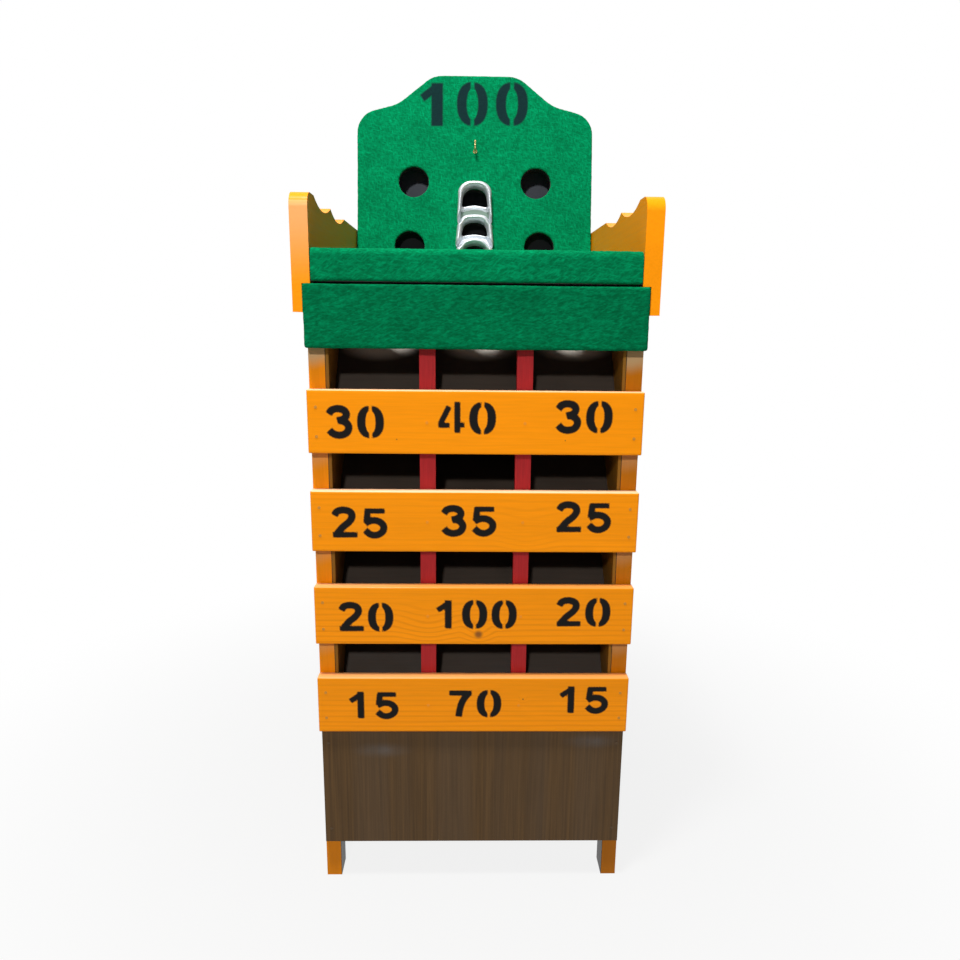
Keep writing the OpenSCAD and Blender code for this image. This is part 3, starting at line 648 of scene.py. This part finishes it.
def green_felt(name, lay=(12, 78), stencilled=False, shade=1.0):
    """Thick needled wool felt, glued on: matted hairs that catch light over a darker, softly clouded ground.
    The hairs lie at the angles of lay, in degrees from level."""
    material, tree, shader, place = start_material(name)
    # Hairs about 2.5 mm wide and 10 mm long, drawn coarser than real ones so that they show
    hairs = None
    for angle in lay:
        turned = add_node(
            tree, "Mapping", {"Vector": place, "Rotation": (0, math.radians(angle), 0), "Scale": (4, 1, 1)},
            vector_type="TEXTURE",
        ).outputs[0]
        layer = noise(tree, turned, 400, 3, 0.6)
        hairs = layer if hairs is None else calc(tree, "MAXIMUM", hairs, layer)
    # Matted tufts about 6 mm wide, and shades of wear about 45 mm wide
    tufts = noise(tree, place, 160, 4, 0.65)
    wear_and_shade = noise(tree, place, 22, 4)
    colour = ramp(tree, hairs, (0.46, colours().felt_deep), (0.74, colours().felt))
    colour = times(tree, colour, greys(tree, tufts, (0.35, 0.82), (0.62, 1.0)))
    # shade below 1 darkens the whole felt as painted shade; the apron takes it
    wear_and_shade = greys(tree, wear_and_shade, (0.35, 0.86 * shade), (0.65, 1.04 * shade))
    colour = times(tree, colour, wear_and_shade)
    if stencilled:
        depth = add_node(tree, "Attribute", attribute_name="stencil").outputs["Fac"]
        edge = calc(tree, "ADD", depth, span(tree, hairs, 0, 1, -2.2, 2.2))
        cover = span(tree, edge, -1.6, 1.6, 0, 0.96)
        colour = blend(tree, cover, colour, colours().felt_paint)
    plug(tree, shader, {
        "Base Color": colour, "Normal": bump(tree, blend(tree, 0.5, tufts, hairs), 0.8 * MM, 0.7),
        "Roughness": 0.95, "Specular IOR Level": 0.03, "Sheen Weight": 0.2, "Sheen Roughness": 0.5,
        "Sheen Tint": linear("#14c884"),
    })
    return material


def primed_panel(name):
    """Hardboard, primed grey on the side towards the game and brown on its outside."""
    material, tree, shader, place = start_material(name)
    inner_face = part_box("duct_back_panel")[0].y + 0.6 * MM
    roller = noise(tree, place, 260, 4)
    grime = noise(tree, place, 20, 3)
    primed = times(tree, colours().duct_grey, greys(tree, grime, (0.3, 0.8), (0.7, 1.0)))
    figure_place = drawn_out(tree, place, "Z", 0.015)
    stripes = noise(tree, figure_place, 230, 3)
    brown = ramp(tree, stripes, (0.32, colours().laminate_dark), (0.68, colours().laminate))
    depth = coord(tree, place, "Y")
    outside = calc(tree, "GREATER_THAN", depth, inner_face)
    plug(tree, shader, {
        "Base Color": blend(tree, outside, primed, brown), "Normal": bump(tree, roller, 0.08 * MM),
        "Roughness": 0.6, "Specular IOR Level": 0.2,
    })
    return material


def dark_board(name):
    """Board behind the felt, painted near black inside the holes so that nothing shines out of them."""
    material, tree, shader, place = start_material(name)
    brush = noise(tree, place, 300, 3)
    colour = times(tree, linear("#2a2320"), greys(tree, brush, (0.3, 0.7), (0.7, 1.0)))
    plug(tree, shader, {"Base Color": colour, "Normal": bump(tree, brush, 0.1 * MM), "Roughness": 0.7})
    return material


def cast_aluminium(name):
    """Sand-cast aluminium, rubbed bright: pale metal with a soft, uneven shine and small pits."""
    material, tree, shader, place = start_material(name)
    pits = noise(tree, place, 420, 4, 0.6)
    rubbing = noise(tree, place, 60, 3)
    colour = times(tree, colours().casting, greys(tree, rubbing, (0.3, 0.88), (0.7, 1.0)))
    # The chins take dull tarnish, with the green felt's reflection and their shade painted into its colour
    dull = add_node(tree, "Attribute", attribute_name="dull").outputs["Fac"]
    colour = blend(tree, dull, colour, colours().chin_tarnish_and_reflection)
    roughness = blend(tree, dull, greys(tree, rubbing, (0.3, 0.5), (0.7, 0.36)), grey(0.85))
    metal = span(tree, dull, 0, 1, 0.6, 0.05)
    plug(tree, shader, {
        "Base Color": colour, "Roughness": roughness, "Metallic": metal,
        "Normal": bump(tree, pits, 0.2 * MM, 0.6),
    })
    return material


def drawn_brass(name):
    """Drawn brass wire, bright with a few dull spots."""
    material, tree, shader, place = start_material(name)
    spots = noise(tree, place, 300, 3)
    colour = times(tree, colours().brass, greys(tree, spots, (0.3, 0.75), (0.7, 1.0)))
    plug(tree, shader, {
        "Base Color": colour, "Roughness": greys(tree, spots, (0.3, 0.35), (0.7, 0.2)), "Metallic": 1.0,
    })
    return material


def red_enamel(name):
    """Brushed gloss enamel on pine battens: strong red with streaks along the brush."""
    material, tree, shader, place = start_material(name)
    brush_place = drawn_out(tree, place, "Z", 0.06)
    streaks = noise(tree, brush_place, 450, 3)
    colour = times(tree, colours().batten_red, greys(tree, streaks, (0.3, 0.8), (0.7, 1.0)))
    plug(tree, shader, {
        "Base Color": colour, "Normal": bump(tree, streaks, 0.08 * MM), "Roughness": 0.45,
        "Specular IOR Level": 0.12, "Coat Weight": 0.1, "Coat Roughness": 0.15,
    })
    return material


def nail_steel(name, steel, filled=False):
    """Steel nails and screws, gone brown under the varnish. In front of the dividers they are filled over."""
    material, tree, shader, place = start_material(name)
    rust = noise(tree, place, 900, 3)
    colour = times(tree, steel, greys(tree, rust, (0.3, 0.6), (0.7, 1.1)))
    if filled:
        putty = calc(tree, "LESS_THAN", off_middle(tree, place), 0.15)
        colour = blend(tree, putty, colour, linear("#e58a08"))
    plug(tree, shader, {
        "Base Color": colour, "Roughness": greys(tree, rust, (0.3, 0.6), (0.7, 0.4)),
        "Metallic": 0.1 if filled else 0.6,
    })
    return material


def dress(nodes, material, edge):
    """Gives CAD nodes their finish, and eases their edges as a plane or sandpaper would."""
    for node in nodes:
        piece = frame["nodes"][node]
        piece.data.materials.clear()
        piece.data.materials.append(material)
        if edge > 0:
            piece.data.polygons.foreach_set("use_smooth", np.ones(len(piece.data.polygons), bool))
            weld = piece.modifiers.new("weld", "WELD")
            weld.merge_threshold = 0.01 * MM
            # Faces that lie flat are joined, so that only real edges are eased
            flat = piece.modifiers.new("flat", "DECIMATE")
            flat.decimate_type = "DISSOLVE"
            flat.angle_limit = math.radians(0.4)
            ease = piece.modifiers.new("ease", "BEVEL")
            ease.width = edge
            ease.segments = 2
            ease.limit_method = "ANGLE"
            ease.angle_limit = math.radians(35)
            # The flat faces shade flat, also round the nail holes
            even = piece.modifiers.new("even", "WEIGHTED_NORMAL")
            even.weight = 100


# Pieces

# By rail: knots from its upper edge, how strong its rings are, how strong the painted highlight on its edge
# is, and its numbers
RAIL_KNOTS = [
    [(-118, -73, 1.2, 6), (134, -73, 1.1, 5)],
    [(80, -62, 0, 60)],
    [(7, -78, 7, 34), (41, -60, 2.2, 14), (-72, -60, 0, 62)],
    [(80, -37, 1.6, 10)],
]
RAIL_FIGURE = [0.12, 0.2, 0.34, 0.26]
RAIL_EDGE_HIGHLIGHT = [0.8, 0.7, 0.4, 0.5]
RAIL_NUMBERS = [
    (("30", -179.6, -47.3), ("40", -13.4, -40.5), ("30", 160.5, -37.3)),
    (("25", -176.2, -49.0), ("35", -9.5, -45.2), ("25", 166.4, -38.7)),
    (("20", -170.1, -49.4), ("100", 0.7, -44.5), ("20", 171.5, -40.4)),
    (("15", -163.1, -47.4), ("70", 2.0, -44.8), ("15", 176.0, -37.8)),
]


class TOSS_OT_score_rails(bpy.types.Operator):
    """Models the four score rails with their sprayed numbers"""

    bl_idname = "toss.score_rails"
    bl_label = "Score rails"

    def execute(self, context):
        for i, node in enumerate(RAILS):
            low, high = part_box(node)
            size = high - low
            bpy.ops.mesh.primitive_cube_add(size=1, location=(low + high) / 2, scale=size)
            rail = context.object
            rail.name = rail.data.name = f"rail_{i + 1}"
            bpy.ops.object.transform_apply()
            pick(rail, "edges", np.ones(len(rail.data.edges)))
            width = sizes().board_edge
            edit(rail, lambda: bpy.ops.mesh.bevel(offset=width, segments=3, affect="EDGES"))
            pitch = sizes().rail_pitch
            cut_edges(rail, long_edges(rail, 2, size.z / 2), int(size.z / pitch))
            cut_edges(rail, long_edges(rail, 0, size.x / 2), 13)
            cut_edges(rail, long_edges(rail, 0, size.x / 28), int(size.x / 14 / pitch))
            # Only the front face takes paint
            places = read(rail) / MM
            face = places[:, 1] < low.y / MM + 0.6
            flat = np.where(face[:, None], places[:, [0, 2]] - (0, high.z / MM), 1e4)
            paint_number(rail, flat, [(*word, 1, 1) for word in RAIL_NUMBERS[i]])
            round_normals(rail)
            knots = [(x, high.z / MM + z, heart, reach) for x, z, heart, reach in RAIL_KNOTS[i]]
            shift = (0.3 * i, 0.34, 0.31 * i)
            name = f"stained_pine_rail_{i + 1}"
            tone = 1 - 0.02 * i
            material = stained_pine(
                name, "X", shift, RAIL_FIGURE[i], tone, knots, stencilled=True, edge_highlight=RAIL_EDGE_HIGHLIGHT[i], top=high.z
            )
            finish_piece(rail, "cabinet", "stained_wood", material, node)
        return {"FINISHED"}


def felt_cover(name, body, nodes, keep, lay=(12, 78), leaning=False, words=(), shade=1.0):
    """Felt glued over a board: the outer skin of the board with its felt, where keep marks it by place."""
    cover = merged_copy(name, *nodes)
    if leaning:
        cover.data.transform(ON_BOARD.inverted())
    finish_modifier(cover, "REMESH", mode="VOXEL", voxel_size=sizes().felt_pitch)
    finish_modifier(cover, "SMOOTH", factor=0.5, iterations=5)
    centres = read(cover, "polygons", "center")
    drop_faces(cover, ~keep(centres / MM))
    # Tufts of nap, and waves 60 mm wide where the felt doesn't lie quite flat
    for label, width, height in (("nap", sizes().nap_size, sizes().nap_height), ("wave", 0.06, 0.0012)):
        clouds = bpy.data.textures.new(label, "CLOUDS")
        clouds.noise_scale = width
        clouds.noise_depth = 2
        finish_modifier(cover, "DISPLACE", texture=clouds, strength=height, texture_coords="LOCAL")
        bpy.data.textures.remove(clouds)
    if words:
        places = read(cover) / MM
        paint_number(cover, places[:, [0, 2]], words)
    finish_modifier(cover, "SOLIDIFY", thickness=sizes().felt_wall, offset=-1)
    if leaning:
        cover.data.transform(ON_BOARD)
    round_normals(cover, 60)
    material = green_felt(f"green_felt_{name}", lay, stencilled=bool(words), shade=shade)
    return finish_piece(cover, body, "felt", material, nodes[-1])


class TOSS_OT_target_cover(bpy.types.Operator):
    """Covers the target board's front and edges with felt and sprays the crest's number"""

    bl_idname = "toss.target_cover"
    bl_label = "Target board felt"

    def execute(self, context):
        # No felt lines the holes and the mouths' slot, or covers the board's back and foot
        def keep(c):
            inside = np.zeros(len(c), bool)
            for x, v in HOLES:
                inside |= np.hypot(c[:, 0] - x, c[:, 2] - v) < HOLE_RADIUS
            mouth = (np.abs(c[:, 0]) < 29) & (c[:, 2] > 45) & (c[:, 2] < 208)
            back = c[:, 1] > 16.8
            low = c[:, 2] < 20
            return ~(((inside | mouth) & (c[:, 1] > 0.3)) | back | low)

        words = [
            ("1", -87.5, 372.5, 1.62, 1.8), ("|", -81.7, 372.5, 1.62, 1.8),
            ("0", -6, 374.5, 1.56, 1.77), ("0", 73.4, 375.5, 1.62, 1.77),
        ]
        nodes = ["target_board", "target_board_felt"]
        cover = felt_cover("target_cover", "head", nodes, keep, leaning=True, words=words)
        return {"FINISHED"}


class TOSS_OT_apron_cover(bpy.types.Operator):
    """Wraps the apron board in felt"""

    bl_idname = "toss.apron_cover"
    bl_label = "Apron felt"

    def execute(self, context):
        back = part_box("apron_board")[1].y / MM - 1.2
        nodes = ["apron_board", "apron_felt"]
        # The apron's felt is darkened, as painted shade
        cover = felt_cover("apron_cover", "cabinet", nodes, lambda c: c[:, 1] < back, (3, -20), shade=0.78)
        return {"FINISHED"}


class TOSS_OT_bar_cover(bpy.types.Operator):
    """Wraps the front bar in felt, with a rounded top"""

    bl_idname = "toss.bar_cover"
    bl_label = "Front bar felt"

    def execute(self, context):
        low, high = (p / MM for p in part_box("front_bar_felt"))
        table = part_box("table_felt")[1].z / MM
        side = high.x - 1.2

        def keep(c):
            behind = (c[:, 1] > (low.y + high.y) / 2) & (c[:, 2] < table + 0.5) & (c[:, 2] > low.z + 1.2)
            return ~(behind | (np.abs(c[:, 0]) > side))

        cover = felt_cover("bar_cover", "head", ["front_bar", "front_bar_felt"], keep, (6, -35))
        return {"FINISHED"}


class TOSS_OT_table_cover(bpy.types.Operator):
    """Lays felt on the playing table"""

    bl_idname = "toss.table_cover"
    bl_label = "Table felt"

    def execute(self, context):
        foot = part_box("table_felt")[0].z / MM
        nodes = ["playing_table", "table_felt"]
        cover = felt_cover("table_cover", "head", nodes, lambda c: c[:, 2] > foot + 0.6)
        return {"FINISHED"}


class TOSS_OT_mouth_hoods(bpy.types.Operator):
    """Models the three cast mouths of the target board"""

    bl_idname = "toss.mouth_hoods"
    bl_label = "Cast mouths"

    def execute(self, context):
        material = cast_aluminium("cast_aluminium")
        for i, node in enumerate(HOODS):
            hood = merged_copy(f"mouth_{i + 1}", node)
            finish_modifier(hood, "REMESH", mode="VOXEL", voxel_size=sizes().casting_pitch)
            finish_modifier(hood, "SMOOTH", factor=0.5, iterations=4)
            hood.data.transform(ON_BOARD.inverted())
            places = read(hood) / MM
            foot, lip, half = CHINS[i]
            inside = np.minimum(places[:, 2] - foot, lip - places[:, 2] - 0.0075 * places[:, 0] ** 2)
            inside = np.minimum(inside, half - np.abs(places[:, 0]))
            # The dull mark carries the chins' tarnish and their painted reflection and shade
            mark(hood, "dull", np.clip(inside, 0, 1))
            hood.data.transform(ON_BOARD)
            round_normals(hood, 70)
            finish_piece(hood, "head", "cast_aluminium", material, node)
        return {"FINISHED"}


class TOSS_OT_scoring_hook(bpy.types.Operator):
    """Finishes the brass hook of the crest"""

    bl_idname = "toss.scoring_hook"
    bl_label = "Scoring hook"

    def execute(self, context):
        hook = merged_copy("hook", "scoring_hook")
        round_normals(hook, 50)
        finish_piece(hook, "head", "hook_brass", drawn_brass("drawn_brass"), "scoring_hook")
        return {"FINISHED"}


class TOSS_OT_stained_boards(bpy.types.Operator):
    """Finishes the stained boards of the cabinet and the head"""

    bl_idname = "toss.stained_boards"
    bl_label = "Stained boards"

    def execute(self, context):
        edge = sizes().board_edge
        posts = ["front_left_post", "front_right_post", "rear_left_post", "rear_right_post"]
        for i, node in enumerate(posts):
            # The right posts are made darker than the left ones
            tone = 0.62 if "right" in node else 0.95
            shift = (0.17 * i, 0.23 * i, 0.5)
            material = stained_pine(f"stained_pine_{node}", "Z", shift, tone=tone, painted_light_on_posts=True)
            dress([node], material, edge)
        for i, node in enumerate(["left_arm", "right_arm"]):
            shift = (0.2 + 0.13 * i, 0.5, 0.3)
            material = stained_pine(f"stained_pine_{node}", "Y", shift, 0.06, painted_sheen=i == 0)
            dress([node], material, edge)
        plain = stained_pine("stained_pine_boards", "X", (0.1, 0.2, 0.3))
        dress(["apron_board"], plain, 0)
        dress(["target_board", "playing_table", "front_bar"], dark_board("painted_board"), 0)
        return {"FINISHED"}


class TOSS_OT_battens(bpy.types.Operator):
    """Paints the divider battens red"""

    bl_idname = "toss.battens"
    bl_label = "Divider battens"

    def execute(self, context):
        dress(["left_divider_batten", "right_divider_batten"], red_enamel("red_enamel"), 1.2 * MM)
        return {"FINISHED"}


class TOSS_OT_panels(bpy.types.Operator):
    """Finishes the laminated panels, partitions and chutes"""

    bl_idname = "toss.panels"
    bl_label = "Brown panels"

    def execute(self, context):
        # Painted pools of light on the upper chutes, under the table's front holes
        light_spots = [(-155, 902), (7, 903), (159, 904)]
        brown = colours().chute_brown
        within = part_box("right_side_panel")[1].x / MM - 0.4
        upright = ["back_panel", "left_partition", "right_partition", "left_duct_side", "right_duct_side"]
        sides = ["left_side_panel", "right_side_panel"]
        partitions = ["upper_duct_partitions", "lower_duct_partition"]
        for nodes, material in (
            ([*upright, "duct_separators"], brown_laminate("brown_laminate_upright", "Z")),
            (sides, brown_laminate("brown_laminate_sides", "Z", within=within)),
            (["duct_back_panel"], primed_panel("primed_duct_back")),
            (["base_panel"], brown_laminate("brown_laminate_front", "Z", hazed=True)),
            (["duct_roof"], brown_laminate("brown_laminate_across", "X")),
            (["chute_floors_1"], chute_board("rubbed_chutes", brown, light_spots)),
            (["chute_floors_2", "chute_floors_3", "chute_floors_4"], chute_board("painted_chutes", brown)),
            # The partitions are near black, as painted shade in the lower holes
            (partitions, chute_board("painted_partitions", colours().partition_shade)),
        ):
            dress(nodes, material, sizes().panel_edge)
        return {"FINISHED"}


class TOSS_OT_frame_rails(bpy.types.Operator):
    """Finishes the bare rails of the cabinet's frame"""

    bl_idname = "toss.frame_rails"
    bl_label = "Frame rails"

    def execute(self, context):
        lengthwise = bare_pine("bare_pine_lengthwise", "Y")
        crosswise = bare_pine("bare_pine_crosswise", "X")
        dress(["upper_side_rails", "lower_side_rails"], lengthwise, sizes().board_edge)
        dress(["rear_cross_rails", "front_cross_rail"], crosswise, sizes().board_edge)
        return {"FINISHED"}


class TOSS_OT_fasteners(bpy.types.Operator):
    """Finishes the nails and screws"""

    bl_idname = "toss.fasteners"
    bl_label = "Nails and screws"

    def execute(self, context):
        material = nail_steel("nail_steel", colours().nail)
        dress(["base_panel_nails", "arm_nails", "hood_screws"], material, 0)
        filled = nail_steel("filled_nail_steel", colours().varnished_nail, filled=True)
        dress(["rail_nails"], filled, 0)
        return {"FINISHED"}


# Studio

# The photo's camera: place in millimetres, turns in degrees, focal length and picture width in its dots
CAMERA_PLACE = (-14.9, -1393.6, 943.7)
CAMERA_TURN = (-1.125, 12.213, 0.6)
FOCAL_PX = 750
FRAME_PX = 960


def area_light(name, place, target, size, power):
    """A square white lamp turned to a target, in metres and watts."""
    data = bpy.data.lights.new(name, "AREA")
    data.size = size
    data.energy = power
    lamp = bpy.data.objects.new(name, data)
    bpy.context.scene.collection.objects.link(lamp)
    lamp.location = place
    lamp.rotation_euler = (Vector(target) - Vector(place)).to_track_quat("-Z", "Y").to_euler()


class TOSS_OT_studio(bpy.types.Operator):
    """Sets the floor, the light and the camera"""

    bl_idname = "toss.studio"
    bl_label = "Studio"

    def execute(self, context):
        scene = context.scene
        scene.view_settings.view_transform = "Standard"
        yaw, pitch, roll = (math.radians(a) for a in CAMERA_TURN)
        ahead = Vector((-math.sin(yaw) * math.cos(pitch), math.cos(yaw) * math.cos(pitch), -math.sin(pitch)))
        level = Vector((math.cos(yaw), math.sin(yaw), 0))
        above = level.cross(ahead)
        right = math.cos(roll) * level + math.sin(roll) * above
        up = math.cos(roll) * above - math.sin(roll) * level
        data = bpy.data.cameras.new("camera")
        data.sensor_width = 36
        data.lens = FOCAL_PX / FRAME_PX * data.sensor_width
        data.clip_start, data.clip_end = 0.05, 60
        camera = bpy.data.objects.new("camera", data)
        scene.collection.objects.link(camera)
        turn = Matrix((right, up, -ahead)).transposed().to_4x4()
        camera.matrix_world = Matrix.Translation(Vector(CAMERA_PLACE) * MM) @ turn
        scene.camera = camera

        bpy.ops.mesh.primitive_plane_add(size=40, location=(0, 0, 0))
        floor = context.object
        floor.name = "floor"
        material, tree, shader, place = start_material("white_floor")
        plug(tree, shader, {"Base Color": linear("#a8a8a6"), "Roughness": 0.9})
        path = add_node(tree, "LightPath")
        glow = add_node(tree, "Emission", {"Color": grey(1.0), "Strength": 1.0})
        # The floor keeps some shadow by the feet and turns plain white within a metre and a half
        away = add_node(tree, "VectorMath", {0: place}, operation="LENGTH").outputs["Value"]
        white = span(tree, away, 0.25, 1.4, 0.85, 1.0, smooth=True)
        seen = calc(tree, "MAXIMUM", path.outputs["Is Camera Ray"], path.outputs["Is Glossy Ray"])
        share = calc(tree, "MULTIPLY", seen, white)
        mix = add_node(tree, "MixShader", {0: share, 1: shader.outputs[0], 2: glow.outputs[0]})
        plug(tree, tree.nodes["Material Output"], {"Surface": mix.outputs[0]})
        floor.data.materials.append(material)

        world = bpy.data.worlds.new("studio")
        world.use_nodes = True
        scene.world = world
        tree = world.node_tree
        path = add_node(tree, "LightPath")
        # Behind the game hangs the white backdrop, and the room in front of it is dim
        side = coord(tree, add_node(tree, "TexCoord").outputs["Generated"], "Y")
        room = span(tree, side, -0.2, 0.4, 0.22, 1.0)
        mirrored = calc(tree, "MULTIPLY", path.outputs["Is Glossy Ray"], room)
        seen = calc(tree, "MAXIMUM", path.outputs["Is Camera Ray"], mirrored)
        seen = calc(tree, "MAXIMUM", seen, path.outputs["Is Transmission Ray"])
        strength = calc(tree, "MAXIMUM", seen, 0.2)
        plug(tree, tree.nodes["Background"], {"Color": grey(1.0), "Strength": strength})

        area_light("key", (-0.5, -3.4, 2.45), (0, -0.1, 0.8), 0.2, 62)
        area_light("top", (-0.4, -0.9, 3.35), (0, -0.15, 0.75), 0.35, 95)
        return {"FINISHED"}


class TOSS_PT_panel(bpy.types.Panel):
    """Lists the game's pieces"""

    bl_idname = "TOSS_PT_panel"
    bl_label = "Frog toss game"
    bl_space_type = "VIEW_3D"
    bl_region_type = "UI"
    bl_category = "Frog Toss"

    def draw(self, context):
        for name in GameSizes.__annotations__:
            self.layout.prop(context.scene.game_sizes, name)
        for name in GameColours.__annotations__:
            self.layout.prop(context.scene.game_colours, name)
        for operator in OPERATORS:
            self.layout.operator(operator.bl_idname)


# In the order in which the pieces are made
OPERATORS = [
    TOSS_OT_score_rails,
    TOSS_OT_target_cover,
    TOSS_OT_apron_cover,
    TOSS_OT_bar_cover,
    TOSS_OT_table_cover,
    TOSS_OT_mouth_hoods,
    TOSS_OT_scoring_hook,
    TOSS_OT_stained_boards,
    TOSS_OT_battens,
    TOSS_OT_panels,
    TOSS_OT_frame_rails,
    TOSS_OT_fasteners,
    TOSS_OT_studio,
]
CLASSES = [GameSizes, GameColours, *OPERATORS, TOSS_PT_panel]


def register():
    for c in CLASSES:
        bpy.utils.register_class(c)
    bpy.types.Scene.game_sizes = PointerProperty(type=GameSizes)
    bpy.types.Scene.game_colours = PointerProperty(type=GameColours)


def unregister():
    del bpy.types.Scene.game_sizes
    del bpy.types.Scene.game_colours
    for c in reversed(CLASSES):
        bpy.utils.unregister_class(c)


def main():
    register()
    for operator in OPERATORS:
        group, name = operator.bl_idname.split(".")
        getattr(getattr(bpy.ops, group), name)()


if __name__ == "__main__":
    main()
